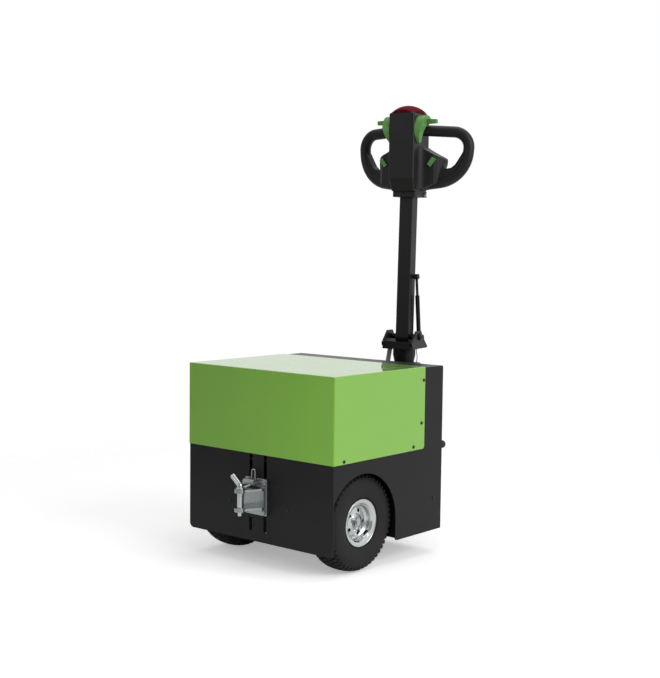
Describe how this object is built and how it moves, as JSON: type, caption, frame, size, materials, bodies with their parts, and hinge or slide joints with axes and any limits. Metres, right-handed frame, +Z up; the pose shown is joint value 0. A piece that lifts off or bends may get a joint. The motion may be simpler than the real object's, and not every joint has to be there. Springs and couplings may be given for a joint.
{
  "type": "electric tow tractor",
  "caption": "Compact walk-behind electric tow tractor: boxy body with a green hood, drop-pin hitch in front, pneumatic drive wheels and an upright tiller with loop grips on a steered rear wheel",
  "frame": {"origin": "on the floor, at the middle of the overall length and width", "axes": "+Z up, hitch faces -Y, driver and tiller at +Y, +X to the right as seen from the hitch side"},
  "size_m": [0.526, 0.8279, 1.267],
  "materials": {
    "hood_paint": "semi-gloss green powder coat",
    "body_paint": "fine satin black powder coat",
    "battery_case": "battery case",
    "cast_metal": "cast housing",
    "motor_paint": "painted motor shell",
    "tyre_rubber": "black rubber",
    "zinc": "bright zinc plating",
    "shaft_steel": "bright steel",
    "buffer_rubber": "black rubber",
    "steer_rubber": "solid black rubber",
    "hub_grey": "cast hub",
    "conduit": "black cable sleeve",
    "spring_paint": "black gas spring",
    "column_paint": "satin black powder coat",
    "head_plastic": "fine grained black plastic",
    "red_plastic": "dark red plastic",
    "green_plastic": "green plastic"
  },
  "bodies": {
    "chassis": {"hood": "hood_paint", "front_plate": "body_paint", "side_plate_left": "body_paint", "side_plate_right": "body_paint", "rear_cover": "body_paint", "deck_plate": "body_paint", "floor_plate": "body_paint", "wheel_box_left": "body_paint", "wheel_box_right": "body_paint", "battery_block": "battery_case", "transaxle_housing": "cast_metal", "drive_motor": "motor_paint", "steering_bracket": "body_paint", "rear_buffers": "buffer_rubber", "hitch_plate": "zinc", "hitch_clevis": "zinc", "hitch_keeper": "zinc"},
    "left_drive_wheel": {"drive_tyre_left": "tyre_rubber", "drive_rim_left": "zinc", "drive_axle_left": "shaft_steel"},
    "right_drive_wheel": {"drive_tyre_right": "tyre_rubber", "drive_rim_right": "zinc", "drive_axle_right": "shaft_steel"},
    "steering": {"steer_fork": "body_paint", "steer_axle": "shaft_steel", "tiller_yoke": "body_paint", "tilt_pin": "spring_paint", "cable_conduit": "conduit"},
    "steer_wheel": {"steer_tyre": "steer_rubber", "steer_hub": "hub_grey"},
    "tiller": {"tiller_column": "column_paint", "head_collar": "head_plastic", "head_housing": "head_plastic", "grip_loop_left": "head_plastic", "grip_loop_right": "head_plastic", "belly_button": "red_plastic", "thumb_levers": "green_plastic", "push_buttons": "green_plastic"},
    "gas_spring": {"spring_barrel": "spring_paint"},
    "gas_spring_rod": {"spring_rod": "spring_paint"},
    "drop_pin": {"hitch_pin": "zinc"}
  },
  "joints": [
    {"name": "left_wheel_spin", "type": "hinge", "parent": "chassis", "child": "left_drive_wheel", "pos_m": [-0.202, -0.19297, 0.13], "axis": [1, 0, 0], "continuous": true},
    {"name": "right_wheel_spin", "type": "hinge", "parent": "chassis", "child": "right_drive_wheel", "pos_m": [0.202, -0.19297, 0.13], "axis": [1, 0, 0], "continuous": true},
    {"name": "steering_turn", "type": "hinge", "parent": "chassis", "child": "steering", "pos_m": [0, 0.30203, 0.4], "axis": [0, 0, 1], "range_deg": [-102, 78]},
    {"name": "steer_wheel_spin", "type": "hinge", "parent": "steering", "child": "steer_wheel", "pos_m": [0, 0.30203, 0.1], "axis": [0.9781, 0.2079, 0], "continuous": true},
    {"name": "tiller_tilt", "type": "hinge", "parent": "steering", "child": "tiller", "pos_m": [0, 0.30203, 0.58], "axis": [-0.9781, -0.2079, 0], "range_deg": [0, 75]},
    {"name": "gas_spring_swing", "type": "hinge", "parent": "steering", "child": "gas_spring", "pos_m": [0.02333, 0.34379, 0.576], "axis": [-0.9781, -0.2079, 0], "range_deg": [0, 83]},
    {"name": "gas_spring_stroke", "type": "slide", "parent": "gas_spring", "child": "gas_spring_rod", "axis": [0.0269, -0.1265, 0.9916], "range_m": [-0.0395, 0]},
    {"name": "hitch_pin_lift", "type": "slide", "parent": "chassis", "child": "drop_pin", "axis": [0, 0, 1], "range_m": [0, 0.068]}
  ],
  "couplings": [
    {"joint": "gas_spring_swing", "follows": "tiller_tilt", "ratio": 1.093},
    {"joint": "gas_spring_stroke", "follows": "tiller_tilt", "m_per_rad": -0.03}
  ]
}
